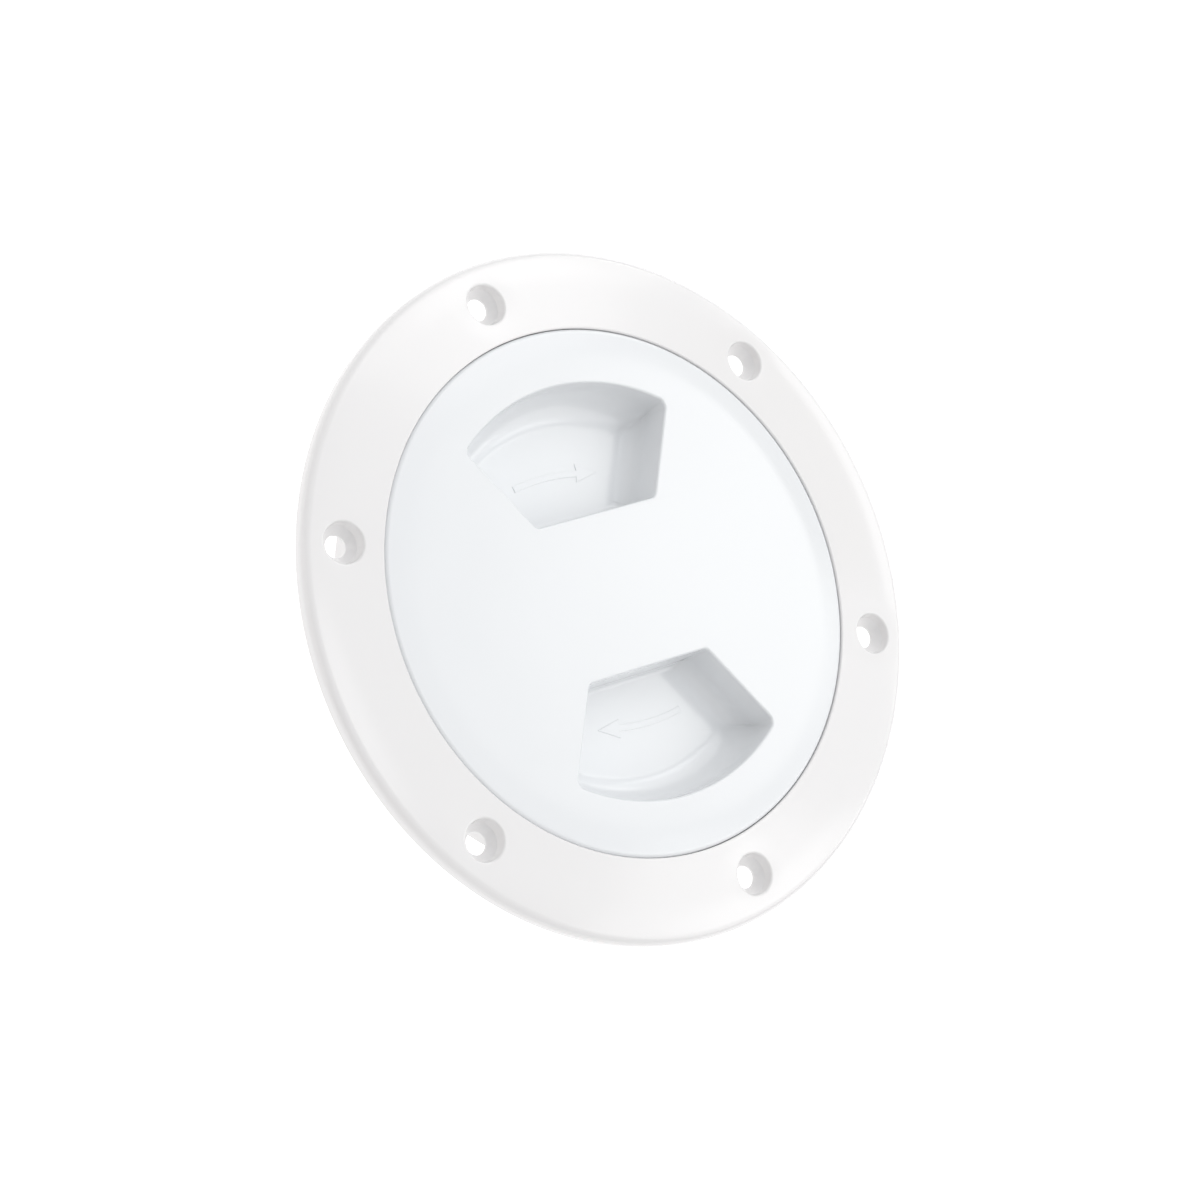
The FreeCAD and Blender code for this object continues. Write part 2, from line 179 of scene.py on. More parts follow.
def new_material(name):
    """An empty node material with its output, and its tree."""
    material = bpy.data.materials.new(name)
    material.use_nodes = True
    tree = material.node_tree
    tree.nodes.clear()
    output = add_node(tree, "ShaderNodeOutputMaterial")
    return material, tree, output


# Glossy ABS, injection moulded in a polished mould. To the eye: an even white with broad, soft-edged
# highlights, a very fine satin grain that the mould leaves, and a hardly visible waviness from shrinking.
ABS_IOR = 1.53
ABS_ROUGHNESS = 0.12
GRAIN_SIZE = 0.35 * MM
GRAIN_HEIGHT = 0.004 * MM
SHRINK_SIZE = 14 * MM
SHRINK_HEIGHT = 0.03 * MM
TINT_SIZE = 30 * MM


def moulded_abs(name, plastic, shade):
    """White ABS as it leaves a polished mould; shade is its colour where the wall is a little thicker."""
    material, tree, output = new_material(name)
    place = add_node(tree, "ShaderNodeTexCoord").outputs["Object"]
    cloud = add_node(tree, "ShaderNodeTexNoise", {"Scale": 1 / TINT_SIZE, "Detail": 1.0}, {"Vector": place})
    tint = add_node(
        tree, "ShaderNodeMix", {"data_type": "RGBA", 6: (*plastic, 1), 7: (*shade, 1)},
        {0: cloud.outputs["Fac"]})
    shrink = add_node(tree, "ShaderNodeTexNoise", {"Scale": 1 / SHRINK_SIZE, "Detail": 0.0}, {"Vector": place})
    grain = add_node(tree, "ShaderNodeTexNoise", {"Scale": 1 / GRAIN_SIZE, "Detail": 1.0}, {"Vector": place})
    waves = add_node(
        tree, "ShaderNodeBump", {"Strength": 1.0, "Distance": SHRINK_HEIGHT},
        {"Height": shrink.outputs["Fac"]})
    skin = add_node(
        tree, "ShaderNodeBump", {"Strength": 1.0, "Distance": GRAIN_HEIGHT},
        {"Height": grain.outputs["Fac"], "Normal": waves.outputs["Normal"]})
    shader = add_node(
        tree, "ShaderNodeBsdfPrincipled", {"Roughness": ABS_ROUGHNESS, "IOR": ABS_IOR},
        {"Base Color": tint.outputs[2], "Normal": skin.outputs["Normal"]})
    tree.links.new(shader.outputs["BSDF"], output.inputs["Surface"])
    return material


# Nitrile rubber, compression moulded: a deep black with a dull sheen and a slightly mottled skin.
RUBBER_IOR = 1.52
RUBBER_ROUGHNESS = 0.48
MOTTLE_SIZE = 0.6 * MM
MOTTLE_HEIGHT = 0.02 * MM


def moulded_nitrile(name, rubber):
    """Black nitrile rubber with the dull skin of a moulded seal."""
    material, tree, output = new_material(name)
    place = add_node(tree, "ShaderNodeTexCoord").outputs["Object"]
    mottle = add_node(tree, "ShaderNodeTexNoise", {"Scale": 1 / MOTTLE_SIZE, "Detail": 2.0}, {"Vector": place})
    skin = add_node(
        tree, "ShaderNodeBump", {"Strength": 0.6, "Distance": MOTTLE_HEIGHT}, {"Height": mottle.outputs["Fac"]})
    shader = add_node(
        tree, "ShaderNodeBsdfPrincipled",
        {"Base Color": (*rubber, 1), "Roughness": RUBBER_ROUGHNESS, "IOR": RUBBER_IOR},
        {"Normal": skin.outputs["Normal"]})
    tree.links.new(shader.outputs["BSDF"], output.inputs["Surface"])
    return material


# Light table: an opal top, lit evenly from below, so that it reads as pure white round the plate and in its holes.
TABLE_ROUGHNESS = 0.9
TABLE_GLOW = 1.0


def light_table(name, opal):
    """The opal top of a light table."""
    material, tree, output = new_material(name)
    shader = add_node(
        tree, "ShaderNodeBsdfPrincipled",
        {"Base Color": (*opal, 1), "Roughness": TABLE_ROUGHNESS, "Emission Color": (1, 1, 1, 1),
         "Emission Strength": TABLE_GLOW})
    tree.links.new(shader.outputs["BSDF"], output.inputs["Surface"])
    return material


ARC_STEPS = 6


def rounded_line(corners, steps=ARC_STEPS):
    """Points along a line through corners (across, up, radius), with each corner that has a radius rounded."""
    points = []
    for index, corner in enumerate(corners):
        spot = np.array(corner[:2], float)
        if len(corner) == 2:
            points.append(spot)
            continue
        back = np.array(corners[index - 1][:2]) - spot
        ahead = np.array(corners[index + 1][:2]) - spot
        back = back / np.linalg.norm(back)
        ahead = ahead / np.linalg.norm(ahead)
        half = math.acos(np.clip(back @ ahead, -1, 1)) / 2
        middle = spot + (back + ahead) / np.linalg.norm(back + ahead) * corner[2] / math.sin(half)
        start = spot + back * corner[2] / math.tan(half) - middle
        turned = math.pi - 2 * half
        way = 1 if back[1] * ahead[0] > back[0] * ahead[1] else -1
        for step in range(steps + 1):
            angle = way * turned * step / steps
            cosine, sine = math.cos(angle), math.sin(angle)
            points.append(middle + (start[0] * cosine - start[1] * sine, start[0] * sine + start[1] * cosine))
    return np.array(points)


def around(radius, height, angles):
    """Points on a level circle, or where radius or height is an array, one value for each angle."""
    return np.stack([radius * np.cos(angles), radius * np.sin(angles), height + 0 * angles], axis=-1)


class Shell:
    """Gathers the faces of one moulding, in millimetres, and welds them into a mesh."""

    def __init__(self):
        self.points = []
        self.faces = []

    def skin(self, rows, closed=True):
        """Quads between rows of points; closed rows run round to their first point."""
        first = len(self.points)
        count = len(rows[0])
        for row in rows:
            self.points.extend(row)
        for row in range(len(rows) - 1):
            for column in range(count if closed else count - 1):
                following = (column + 1) % count
                low = first + row * count
                self.faces.append((low + column, low + following, low + count + following, low + count + column))

    def level(self, outer, holes=()):
        """A flat face inside one loop of points and outside others."""
        loops = [outer, *holes]
        first = len(self.points)
        for loop in loops:
            self.points.extend(loop)
        for triangle in tessellate_polygon([[Vector(point) for point in loop] for loop in loops]):
            self.faces.append(tuple(first + corner for corner in triangle))

    def build(self, name, material, crease=32):
        """The welded object, smooth but for the creases that are sharper than the angle."""
        mesh = bpy.data.meshes.new(name)
        mesh.from_pydata([tuple(point * MM) for point in np.array(self.points)], [], self.faces)
        weld = bmesh.new()
        weld.from_mesh(mesh)
        bmesh.ops.remove_doubles(weld, verts=weld.verts, dist=0.002 * MM)
        bmesh.ops.recalc_face_normals(weld, faces=weld.faces)
        weld.to_mesh(mesh)
        weld.free()
        mesh.shade_smooth()
        mesh.set_sharp_from_angle(angle=math.radians(crease))
        mesh.materials.append(material)
        piece = bpy.data.objects.new(name, mesh)
        bpy.context.scene.collection.objects.link(piece)
        weighted = piece.modifiers.new("flat faces first", "WEIGHTED_NORMAL")
        weighted.keep_sharp = True
        return piece


TURN_STEPS = 720
THREAD_PITCH = 5.0
THREAD_RUN_OUT = 0.06


def thread_ridge(shell, wall, crest, start, turns):
    """A helical ridge of the thread, sunk a little into its wall, that fades out at both ends."""
    sunk = wall - math.copysign(0.4, crest - wall)
    steps = int(turns * TURN_STEPS / 3)
    share = np.linspace(0, 1, steps + 1)
    angles = 2 * math.pi * turns * share
    rise = np.clip(np.minimum(share, 1 - share) * turns / THREAD_RUN_OUT, 0.02, 1)
    rows = []
    for reach, half_width in ((0, 1.1), (0.85, 0.72), (1, 0.6), (1, -0.6), (0.85, -0.72), (0, -1.1)):
        radius = wall + (crest - wall) * reach * rise
        rows.append(around(radius, start + THREAD_PITCH * turns * share + half_width * (0.4 + 0.6 * rise), angles))
    rows.insert(0, around(sunk, rows[0][:, 2], angles))
    rows.append(around(sunk, rows[-1][:, 2], angles))
    loop = np.array(rows)
    shell.skin(list(np.swapaxes(loop, 0, 1)))
    shell.faces.append(tuple(len(shell.points) - 1 - place for place in range(len(rows))))
    first = len(shell.points) - loop.shape[0] * loop.shape[1]
    shell.faces.append(tuple(first + place for place in range(len(rows))))


class DECKPLATE_OT_ring(bpy.types.Operator):
    """Build the flanged ring with its screw holes, seat, threaded collar and coring"""

    bl_idname = "deckplate.ring"
    bl_label = "Build ring"

    def execute(self, context):
        sizes = context.scene.deck_ring
        finish = context.scene.deck_finish
        seat = sizes.seat / MM / 2
        rim = sizes.flange / MM / 2
        depth = sizes.collar_depth / MM
        root = seat - 2.5
        collar = root + 2.6
        upper = seat + 2.5
        ledge = -0.2
        shoulder = ledge - 2.6
        top_line = rounded_line([
            (seat, ledge),
            (seat, sizes.lip / MM, sizes.lip_round / MM),
            (sizes.bend / MM / 2, sizes.bend_height / MM, sizes.bend_round / MM),
            (rim, sizes.edge / MM, sizes.edge_round / MM),
            (rim, 0.0, 0.3),
            (rim - 1.0, 0.0),
        ], steps=14)
        crown = top_line[:, 1] > sizes.edge / MM - 0.6
        crown_radii, crown_heights = top_line[crown].T

        def top_height(radius):
            return np.interp(radius, crown_radii, crown_heights)

        # The flange's top is square patches round the screws and plain strips between them
        patch_in, patch_out = seat + 2.1, rim - 2.2
        patch_columns, patch_rows = 14, 18
        turn_step = 2 * math.pi / TURN_STEPS
        count = int(SCREWS["count"])
        sector = TURN_STEPS // count
        first_screw = math.radians(38.1)
        columns = first_screw + turn_step * np.arange(TURN_STEPS)
        radii = np.linspace(patch_in, patch_out, patch_rows + 1)
        shell = Shell()

        inward = [point for point in top_line if point[1] > ledge + 0.001 and point[0] < patch_in]
        inner_line = [(patch_in, top_height(patch_in))] + inward[::-1] + list(rounded_line([
            (seat, ledge + 0.3),
            (seat, ledge, 0.25),
            (root, ledge, 0.3),
            (root, -depth, 0.4),
            (collar, -depth, 0.8),
            (collar, shoulder, 0.3),
            (upper, shoulder, 0.8),
            (upper, 0.0),
        ]))
        outer_line = [(patch_out, top_height(patch_out))] + [point for point in top_line if point[0] > patch_out]
        shell.skin([around(radius, height, columns) for radius, height in inner_line])
        shell.skin([around(radius, height, columns) for radius, height in outer_line[:-1]])
        foot = outer_line[-2][0]

        hole_loops = []
        mouth = sizes.screw_mouth / MM / 2
        mouth_round = 0.45
        hole = sizes.screw_hole / MM / 2
        for screw in range(count):
            middle = first_screw + screw * 2 * math.pi / count
            near = middle + turn_step * np.arange(-patch_columns, patch_columns + 1)
            far = middle + turn_step * np.arange(patch_columns, sector - patch_columns + 1)
            shell.skin([around(radius, top_height(radius), far) for radius in radii], closed=False)
            border = np.concatenate([
                around(radii[0], 0, near)[:-1],
                around(radii, 0, near[-1] + 0 * radii)[:-1],
                around(radii[-1], 0, near[::-1])[:-1],
                around(radii[::-1], 0, near[0] + 0 * radii)[:-1],
            ])
            centre = around(np.array(sizes.screw_circle / MM / 2), 0, np.array(middle))
            ways = np.arctan2(border[:, 1] - centre[1], border[:, 0] - centre[0])

            def ring_at(radius, height):
                return centre + around(radius, height, ways)

            rim_loop = ring_at(mouth + mouth_round, 0)
            for share in (1, 0.8, 0.6, 0.44, 0.3, 0.2, 0.12, 0.06, 0.02, 0):
                row = rim_loop + (border - rim_loop) * share
                row[:, 2] = top_height(np.hypot(row[:, 0], row[:, 1]))
                if share == 1:
                    rows = [row]
                else:
                    rows.append(row)
            brim = rows[-1][:, 2]
            for step in range(1, 8):
                angle = math.pi / 2 * step / 7
                rows.append(ring_at(
                    mouth + mouth_round * (1 - math.sin(angle)), brim - mouth_round * (1 - math.cos(angle))))
            well = rounded_line([
                (mouth, 3.0),
                (3.85, 2.05, 0.3),
                (hole, 0.5, 0.15),
                (hole, 0.0),
            ], steps=3)
            rows.extend(ring_at(radius, height) for radius, height in well[1:])
            shell.skin(rows)
            hole_loops.append(rows[-1])

        # Under the flange: the seating face, and the coring between the screw pads and the ribs
        core_in, core_out, core_depth = upper + 1.8, rim - 3.0, 1.4
        pockets = []
        for screw in range(count):
            for side in (1, -1):
                ends = []
                for radius in (core_in, core_out):
                    pad = math.asin(5.5 / radius)
                    rib = math.pi / count - math.asin(0.8 / radius)
                    ends.append(around(radius, 0, np.linspace(pad, rib, 16) * side))
                loop = np.concatenate([ends[0], ends[1][::-1]])
                angle = first_screw + screw * 2 * math.pi / count
                pockets.append(loop @ np.array(Matrix.Rotation(angle, 3, "Z")).T)
        shell.level(around(foot, 0, columns), [around(upper, 0, columns), *hole_loops, *pockets])
        for pocket in pockets:
            roof = pocket + (0, 0, core_depth)
            shell.skin([pocket, roof])
            shell.level(roof)

        self.sink(shell, sizes, [first_screw + screw * 2 * math.pi / count for screw in range(count)])
        thread_ridge(shell, root, root - 1.2, 2.9 - depth, 1.9)
        plastic = moulded_abs("white ABS, polished mould, ring", finish.ring, linear("E7E6E6"))
        piece = shell.build("deck_ring_moulding", plastic)
        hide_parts("deck_ring")
        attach(piece, "ring")
        return {"FINISHED"}

    def sink(self, shell, sizes, screws):
        """Let the flange's top down a little over each screw's pad, where the thick plastic shrinks most."""
        points = np.array(shell.points)
        upper_half = points[:, 2] > sizes.edge / MM - 0.8
        for screw in screws:
            centre = around(np.array(sizes.screw_circle / MM / 2), 0, np.array(screw))
            away = np.hypot(points[:, 0] - centre[0], points[:, 1] - centre[1]) / (sizes.sink_reach / MM)
            dish = sizes.sink_depth / MM * np.clip(1 - away ** 2, 0, None) ** 2
            points[:, 2] -= np.where(upper_half, dish, 0)
        shell.points = list(points)


class Recess:
    """The form of one finger recess, or of the box under the lid that holds it."""

    def __init__(self, sizes, grow):
        self.grow = grow
        self.depth = sizes.recess_depth / MM + grow
        self.draft = math.radians(4)
        self.lean = math.radians(30)
        self.chord_y = sizes.recess_from_axis / MM - grow
        self.arc = sizes.recess_arc / MM + grow
        half = sizes.recess_chord / MM / 2 + grow * (1 / math.cos(self.lean) - math.tan(self.lean))
        self.near = np.array([half, self.chord_y])
        self.side_way = np.array([math.sin(self.lean), math.cos(self.lean)])
        self.side_normal = np.array([math.cos(self.lean), -math.sin(self.lean)])
        along = self.near @ self.side_way
        self.side_length = -along + math.sqrt(along ** 2 - self.near @ self.near + self.arc ** 2)
        self.far = self.near + self.side_way * self.side_length
        self.rounds = {"chord": 1.2 + grow, "side": 4.0 + grow, "outer": 6.5 + grow}
        self.corner = sizes.recess_corner / MM

    def outline(self):
        """Points round the mouth with sharp corners, and how far each moves where the corners are rounded."""
        def spaced(whole, cut_start, cut_end):
            return np.concatenate([
                np.linspace(0, cut_start, 9)[:-1],
                np.linspace(cut_start, whole - cut_end, max(8, int(whole / 0.8)))[:-1],
                np.linspace(whole - cut_end, whole, 9)[:-1],
            ])

        far_turn = math.atan2(self.far[0], self.far[1])
        arc_length = 2 * far_turn * self.arc
        # Each side: its start, a function of the way along it, its length and the corner turns at its ends
        chord_turn = math.pi / 2 - self.lean
        arc_turn = math.pi / 2 - self.lean + far_turn
        reaches = [self.corner * math.tan(turn / 2) for turn in (chord_turn, chord_turn, arc_turn, arc_turn)]
        flip = np.array([-1, 1])
        places = []
        shifts = []
        kinds = []

        def side(kind, spot, whole, start_reach, end_reach, start_turn, end_turn):
            for way in spaced(whole, start_reach, end_reach):
                place = spot(way)
                shift = np.zeros(2)
                for reach, turn, gone, ahead in (
                        (start_reach, start_turn, way, 1), (end_reach, end_turn, whole - way, -1)):
                    if gone < reach:
                        shift = shift + self.corner_shift(place, spot, way, reach, turn, gone, ahead)
                places.append(place)
                shifts.append(shift)
                kinds.append(kind)

        side("chord", lambda way: np.array([way - self.near[0], self.chord_y]), 2 * self.near[0],
             reaches[0], reaches[1], chord_turn, chord_turn)
        side("side", lambda way: self.near + self.side_way * way, self.side_length,
             reaches[1], reaches[2], chord_turn, arc_turn)
        side("outer", lambda way: self.arc * np.array([
            math.sin(far_turn - way / self.arc), math.cos(far_turn - way / self.arc)]), arc_length,
            reaches[2], reaches[3], arc_turn, arc_turn)
        side("side", lambda way: (self.far - self.side_way * way) * flip, self.side_length,
             reaches[3], reaches[0], arc_turn, chord_turn)
        return np.array(places), np.array(shifts), kinds

    def corner_shift(self, place, spot, way, reach, turn, gone, ahead):
        """From a point near a sharp corner to its place on the rounded one."""
        small = 0.01
        along = (spot(way + small) - spot(way - small)) * ahead
        along = along / np.linalg.norm(along)
        left = np.array([-along[1], along[0]]) * ahead
        share = gone / reach
        angle = (1 - share) * turn / 2
        back = reach - self.corner * math.sin(angle)
        lift = self.corner * (1 - math.cos(angle))
        return along * (back - gone) + left * lift

    def drop(self, plan):
        """How deep the recess is below the lid's top at each point of the plan."""
        x, y = plan[:, 0], plan[:, 1]
        walls = {
            "chord": y - self.chord_y,
            "outer": self.arc - np.hypot(x, y),
            "side": (self.near[0] - np.abs(x)) * self.side_normal[0] + (self.near[1] - y) * self.side_normal[1],
        }
        deep = np.full(len(plan), self.depth)
        for kind, inside in walls.items():
            deep = np.minimum(deep, self.wall_drop(inside, self.rounds[kind]))
        return deep

    def wall_drop(self, inside, radius):
        """Depth at a distance inside one drafted wall that meets the floor in a round."""
        centre_drop = self.depth - radius
        centre = (radius + centre_drop * math.sin(self.draft)) / math.cos(self.draft)
        touch = centre - radius * math.cos(self.draft)
        rounded = centre_drop + np.sqrt(np.maximum(radius ** 2 - (centre - inside) ** 2, 0))
        deep = np.where(inside < touch, inside / math.tan(self.draft), rounded)
        return np.where(inside > centre, self.depth, deep)

    def rows(self, from_drop, mouth_round):
        """Rows of points (across, along, drop) from the mouth down the walls to the floor."""
        places, shifts, kinds = self.outline()
        radius = np.array([self.rounds[kind] for kind in kinds])
        window = 9
        padded = np.concatenate([radius[-window:], radius, radius[:window]])
        radius = np.convolve(padded, np.ones(window) / window, "same")[window:-window]
        middle = np.array([0, 27.0])
        aims = middle + 0.3 * (places - middle)
        rounded = places + shifts
        tangents = np.roll(rounded, -1, axis=0) - np.roll(rounded, 1, axis=0)
        tangents = tangents / np.linalg.norm(tangents, axis=1)[:, None]
        outward = np.stack([tangents[:, 1], -tangents[:, 0]], axis=1)
        rows = []
        if mouth_round:
            for step in range(8):
                angle = math.pi / 2 * step / 7
                plan = rounded + outward * mouth_round * (1 - math.sin(angle))
                drop = np.full(len(plan), from_drop + mouth_round * (1 - math.cos(angle)))
                rows.append(np.column_stack([plan, drop]))
        sharp = np.roll(places, -1, axis=0) - np.roll(places, 1, axis=0)
        sharp = sharp / np.linalg.norm(sharp, axis=1)[:, None]
        inward = np.stack([-sharp[:, 1], sharp[:, 0]], axis=1)
        run = np.sum((aims - places) * inward, axis=1)
        centre_drop = self.depth - radius
        centre = (radius + centre_drop * math.sin(self.draft)) / math.cos(self.draft)
        touch = centre - radius * math.cos(self.draft)
        steps = []
        start = (from_drop + mouth_round) * math.tan(self.draft)
        for share in ([] if mouth_round else [0.0]) + [0.2, 0.4, 0.6, 0.8]:
            steps.append(start + (touch - start) * share)
        for step in range(17):
            angle = self.draft + (math.pi / 2 - self.draft) * step / 16
            steps.append(centre - radius * np.cos(angle))
        for share in (0.1, 0.3, 0.6, 1.0):
            steps.append(centre + (run - centre) * share)
        for inside in steps:
            plan = places + (aims - places) * (inside / run)[:, None]
            drop = self.drop(plan)
            fade = 1 - drop / self.depth
            rows.append(np.column_stack([plan + shifts * fade[:, None], drop]))
        return rows

    def skin(self, shell, top, flip, from_drop, mouth_round):
        """Add the recess to a shell, and give its mouth's loop; flip is 1 for one recess and -1 for the other."""
        rows = []
        for row in self.rows(from_drop, mouth_round):
            rows.append(np.column_stack([row[:, 0] * flip, row[:, 1] * flip, top - row[:, 2]]))
        shell.skin(rows)
        shell.level(rows[-1])
        return rows[0]


class DECKPLATE_OT_lid(bpy.types.Operator):
    """Build the lid with its two finger recesses, seal land and threaded skirt"""

    bl_idname = "deckplate.lid"
    bl_label = "Build lid"

    def execute(self, context):
        sizes = context.scene.deck_lid
        finish = context.scene.deck_finish
        top = sizes.top / MM
        rim = sizes.rim / MM / 2
        plate = 2.7
        crest = LID_HIGH.x / MM - 2.75
        skirt = crest - 1.2
        inner = skirt - 2.2
        flat = sizes.flat / MM / 2
        foot = LID_LOW.z / MM
        angles = 2 * math.pi / TURN_STEPS * np.arange(TURN_STEPS)
        shell = Shell()
        line = rounded_line([
            (flat - 2.0, top),
            (flat, top, 60.0),
            (rim, top - 0.2, sizes.rim_round / MM),
            (rim, top - 2.5, 0.4),
            (crest, top - 2.5, 0.4),
            (crest, -1.1, 0.3),
            (skirt, -1.6, 0.3),
            (skirt, foot, 0.7),
            (inner, foot, 0.5),
            (inner, top - plate, 1.0),
            (inner - 2.5, top - plate),
        ])
        rings = [around(radius, height, angles) for radius, height in line]
        shell.skin(rings)
        for recess, height, outer, from_drop, mouth_round in (
                (Recess(sizes, 0.0), top, rings[0], 0.0, sizes.recess_mouth / MM),
                (Recess(sizes, 2.0), top - plate, rings[-1], plate, 0.0)):
            mouths = [recess.skin(shell, top, flip, from_drop, mouth_round) for flip in (1, -1)]
            shell.level(outer, mouths)
        thread_ridge(shell, skirt, crest, foot + 0.9, 1.4)
        plastic = moulded_abs("white ABS, polished mould, lid", finish.lid, linear("E4E6E8"))
        piece = shell.build("lid_moulding", plastic)
        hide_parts("lid")
        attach(piece, "lid")
        return {"FINISHED"}


class DECKPLATE_OT_arrows(bpy.types.Operator):
    """Raise an arrow on each recess's floor that shows which way the lid closes"""

    bl_idname = "deckplate.arrows"
    bl_label = "Build arrows"

    def execute(self, context):
        sizes = context.scene.deck_lid
        finish = context.scene.deck_finish
        floor = (sizes.top - sizes.recess_depth) / MM
        rise = sizes.arrow_rise / MM
        width = sizes.arrow_shaft / MM
        bow = 49.0
        centre = np.array([-3.0, 27.3 - bow])
        upper = [centre + bow * np.array([math.sin(turn), math.cos(turn)]) for turn in np.linspace(-0.164, 0.172, 24)]
        lower = [
            centre + (bow - width) * np.array([math.sin(turn), math.cos(turn)])
            for turn in np.linspace(0.166, -0.164, 24)]
        head = [np.array([5.4, 28.0]), np.array([10.2, 25.2]), np.array([4.5, 24.2])]
        outline = np.array(upper + head + lower)
        middle = outline.mean(axis=0)
        plastic = bpy.data.materials["white ABS, polished mould, lid"]
        for name, flip in (("arrow_front", 1), ("arrow_back", -1)):
            shell = Shell()
            rows = []
            for inset, height in ((0, floor - 0.05), (0, floor + rise * 0.7), (0.06, floor + rise * 0.92),
                                  (0.16, floor + rise)):
                loop = self.inset(outline, inset)
                rows.append(np.column_stack([loop * flip, np.full(len(loop), height)]))
            shell.skin(rows)
            shell.level(rows[-1])
            shell.level(rows[0])
            piece = shell.build(name, plastic)
            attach(piece, "lid")
        return {"FINISHED"}

    def inset(self, outline, distance):
        """The outline moved inwards by a distance along its own normals."""
        before = outline - np.roll(outline, 1, axis=0)
        after = np.roll(outline, -1, axis=0) - outline
        before = before / np.linalg.norm(before, axis=1)[:, None]
        after = after / np.linalg.norm(after, axis=1)[:, None]
        normal = np.stack([after[:, 1] + before[:, 1], -after[:, 0] - before[:, 0]], axis=1)
        size = np.sum(normal ** 2, axis=1)[:, None] / 2
        return outline + normal * distance / size


class DECKPLATE_OT_seal(bpy.types.Operator):
    """Build the seal with its smooth oval section"""

    bl_idname = "deckplate.seal"
    bl_label = "Build seal"

    def execute(self, context):
        foot, top, outward = SEAL_LOW.z / MM, SEAL_HIGH.z / MM, SEAL_HIGH.x / MM
        half_width = (context.scene.deck_lid.seal_width / MM) / 2
        half_height = (top - foot) / 2
        angles = 2 * math.pi / TURN_STEPS * np.arange(TURN_STEPS)
        shell = Shell()
        rows = []
        for turn in np.linspace(0, 2 * math.pi, 29):
            rows.append(around(
                outward - half_width * (1 - math.cos(turn)), foot + half_height * (1 + math.sin(turn)), angles))
        shell.skin(rows)
        piece = shell.build("seal_ring", moulded_nitrile("black nitrile rubber, moulded", context.scene.deck_finish.seal))
        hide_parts("o_ring")
        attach(piece, "seal")
        return {"FINISHED"}


# The room's light, painted in soft round patches that are added (ADD) to what lies under them or cover it (MIX).
# Each has a direction (azimuth and elevation in the part's frame), the angles at which it starts and ends to
# fade, and its radiance.
ROOM_COLOUR = (0.11, 0.115, 0.125)
PATCHES = [
    ("ceiling", "ADD", 0, 90, 10, 75, (0.41, 0.42, 0.43)),
    ("ceiling lamp", "ADD", 6, 76, 3, 9, (1.50, 1.50, 1.50)),
    ("far wall", "ADD", 5, 48, 5, 45, (0.60, 0.60, 0.60)),
    ("far window", "ADD", 5, 49.5, 0.5, 7.5, (2.35, 2.30, 2.15)),
    ("left pane", "ADD", 32, 48, 3, 8, (1.40, 1.40, 1.40)),
    ("right pane", "ADD", -22, 48, 3, 8, (1.40, 1.40, 1.40)),
    ("left wall", "ADD", 90, 15, 20, 75, (0.42, 0.42, 0.42)),
    ("right wall", "ADD", 270, 15, 20, 75, (0.44, 0.43, 0.42)),
    ("behind the camera", "ADD", 186, 30, 20, 75, (0.30, 0.29, 0.28)),
    ("dark pillar", "MIX", 9, 42, 5, 7, (0.45, 0.42, 0.37)),
]

# Each lamp has its direction, width, height and distance in metres, power in watts, and colour.
LAMPS = [
    ("low window", 5, 30, 1.1, 0.12, 0.9, 0.60, (1.0, 0.98, 0.95)),
    ("left window", 50, 38, 0.54, 0.62, 0.8, 1.25, (1.0, 0.99, 0.97)),
    ("right window", -42, 38, 0.54, 0.62, 0.8, 1.25, (1.0, 0.99, 0.97)),
    ("behind the camera", 160, 14, 0.6, 0.3, 0.9, 0.6, (1.0, 0.94, 0.88)),
]


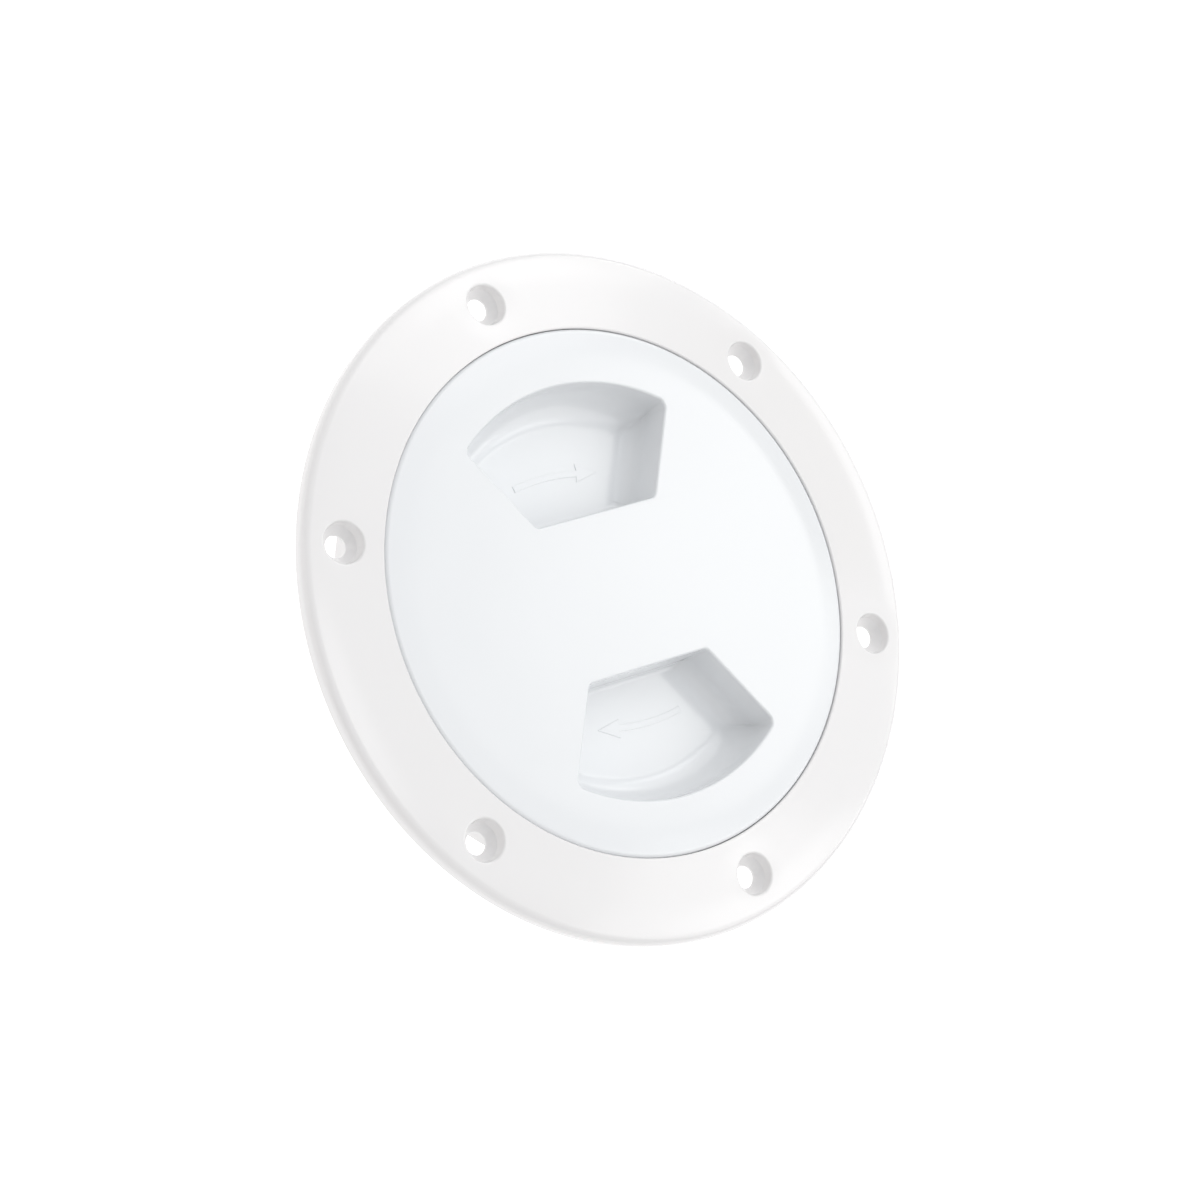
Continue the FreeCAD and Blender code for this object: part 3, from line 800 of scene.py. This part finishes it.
class DECKPLATE_OT_studio(bpy.types.Operator):
    """Set up the light table, the camera and the lamps"""

    bl_idname = "deckplate.studio"
    bl_label = "Build studio"

    def execute(self, context):
        scene = context.scene
        sizes = scene.deck_studio
        self.table(scene)
        self.camera(scene, sizes)
        for name, azimuth, elevation, width, height, distance, power, tint in LAMPS:
            lamp = bpy.data.lights.new(name, "AREA")
            lamp.shape = "RECTANGLE"
            lamp.size, lamp.size_y = width, height
            lamp.energy = power
            lamp.color = tint
            holder = bpy.data.objects.new(name, lamp)
            scene.collection.objects.link(holder)
            away = self.way(azimuth, elevation)
            holder.location = away * distance
            holder.rotation_euler = away.to_track_quat("Z", "Y").to_euler()
        world = bpy.data.worlds.new("soft white room")
        scene.world = world
        world.use_nodes = True
        tree = world.node_tree
        tree.nodes.clear()
        look = add_node(tree, "ShaderNodeTexCoord").outputs["Generated"]
        room = add_node(tree, "ShaderNodeRGB").outputs["Color"]
        room.default_value = (*ROOM_COLOUR, 1)
        for name, blend, azimuth, elevation, inner, outer, radiance in PATCHES:
            toward = add_node(
                tree, "ShaderNodeVectorMath", {"operation": "DOT_PRODUCT", 1: self.way(azimuth, elevation)},
                {0: look}).outputs["Value"]
            share = add_node(
                tree, "ShaderNodeMapRange",
                {"label": name, "interpolation_type": "SMOOTHSTEP", "From Min": math.cos(math.radians(outer)),
                 "From Max": math.cos(math.radians(inner))}, {"Value": toward}).outputs["Result"]
            room = add_node(
                tree, "ShaderNodeMix", {"data_type": "RGBA", "blend_type": blend, 7: (*radiance, 1)},
                {0: share, 6: room}).outputs[2]
        sky = add_node(tree, "ShaderNodeBackground", {"Strength": 1.0}, {"Color": room})
        output = add_node(tree, "ShaderNodeOutputWorld")
        tree.links.new(sky.outputs["Background"], output.inputs["Surface"])
        scene.view_settings.view_transform = "Standard"
        return {"FINISHED"}

    def way(self, azimuth, elevation):
        """The unit vector of a direction in degrees, in the part's frame."""
        turn, rise = math.radians(azimuth), math.radians(elevation)
        return Vector((math.cos(rise) * math.cos(turn), math.cos(rise) * math.sin(turn), math.sin(rise)))

    def table(self, scene):
        """The light table's level top under the collar."""
        half = 3.0
        mesh = bpy.data.meshes.new("table")
        corners = [(-half, -half, CAD_LOW.z), (half, -half, CAD_LOW.z), (half, half, CAD_LOW.z), (-half, half, CAD_LOW.z)]
        mesh.from_pydata(corners, [], [(0, 1, 2, 3)])
        mesh.materials.append(light_table("light table, opal", scene.deck_finish.table))
        table = bpy.data.objects.new("table", mesh)
        scene.collection.objects.link(table)

    def camera(self, scene, sizes):
        """The photograph's camera."""
        toward = Vector((
            math.cos(sizes.elevation) * math.cos(sizes.azimuth),
            math.cos(sizes.elevation) * math.sin(sizes.azimuth),
            math.sin(sizes.elevation)))
        right = Vector((0, 0, 1)).cross(toward).normalized()
        upward = toward.cross(right)
        turned = Matrix((right, upward, toward)).transposed() @ Matrix.Rotation(sizes.roll, 3, "Z")
        camera = bpy.data.cameras.new("camera")
        camera.lens = sizes.lens
        camera.sensor_width = 36
        camera.clip_start = 0.05
        holder = bpy.data.objects.new("camera", camera)
        scene.collection.objects.link(holder)
        offset = turned @ Vector((-sizes.aside, -sizes.above, sizes.distance))
        holder.matrix_world = Matrix.Translation(offset) @ turned.to_4x4()
        scene.camera = holder


class DECKPLATE_PT_panel(bpy.types.Panel):
    """Lists the plate's pieces and their sizes"""

    bl_idname = "DECKPLATE_PT_panel"
    bl_label = "Deck plate"
    bl_space_type = "VIEW_3D"
    bl_region_type = "UI"
    bl_category = "Deck plate"

    def draw(self, context):
        layout = self.layout
        for group in (context.scene.deck_ring, context.scene.deck_lid, context.scene.deck_finish,
                      context.scene.deck_studio):
            box = layout.box()
            for name in group.__annotations__:
                box.prop(group, name)
        for operator in OPERATORS:
            layout.operator(operator.bl_idname)


GROUPS = {
    "deck_ring": DeckRingSizes,
    "deck_lid": LidSizes,
    "deck_finish": FinishColours,
    "deck_studio": StudioSizes,
}
OPERATORS = [DECKPLATE_OT_ring, DECKPLATE_OT_lid, DECKPLATE_OT_arrows, DECKPLATE_OT_seal, DECKPLATE_OT_studio]


def register():
    """Register the classes and hang each group of settings on the scene."""
    for name, group in GROUPS.items():
        bpy.utils.register_class(group)
        setattr(bpy.types.Scene, name, bpy.props.PointerProperty(type=group))
    for operator in OPERATORS:
        bpy.utils.register_class(operator)
    bpy.utils.register_class(DECKPLATE_PT_panel)


def unregister():
    """Take the classes and settings off again."""
    bpy.utils.unregister_class(DECKPLATE_PT_panel)
    for operator in reversed(OPERATORS):
        bpy.utils.unregister_class(operator)
    for name, group in reversed(GROUPS.items()):
        delattr(bpy.types.Scene, name)
        bpy.utils.unregister_class(group)


def main():
    """Build every piece and the studio."""
    register()
    bpy.ops.deckplate.ring()
    bpy.ops.deckplate.lid()
    bpy.ops.deckplate.arrows()
    bpy.ops.deckplate.seal()
    bpy.ops.deckplate.studio()


if __name__ == "__main__":
    main()
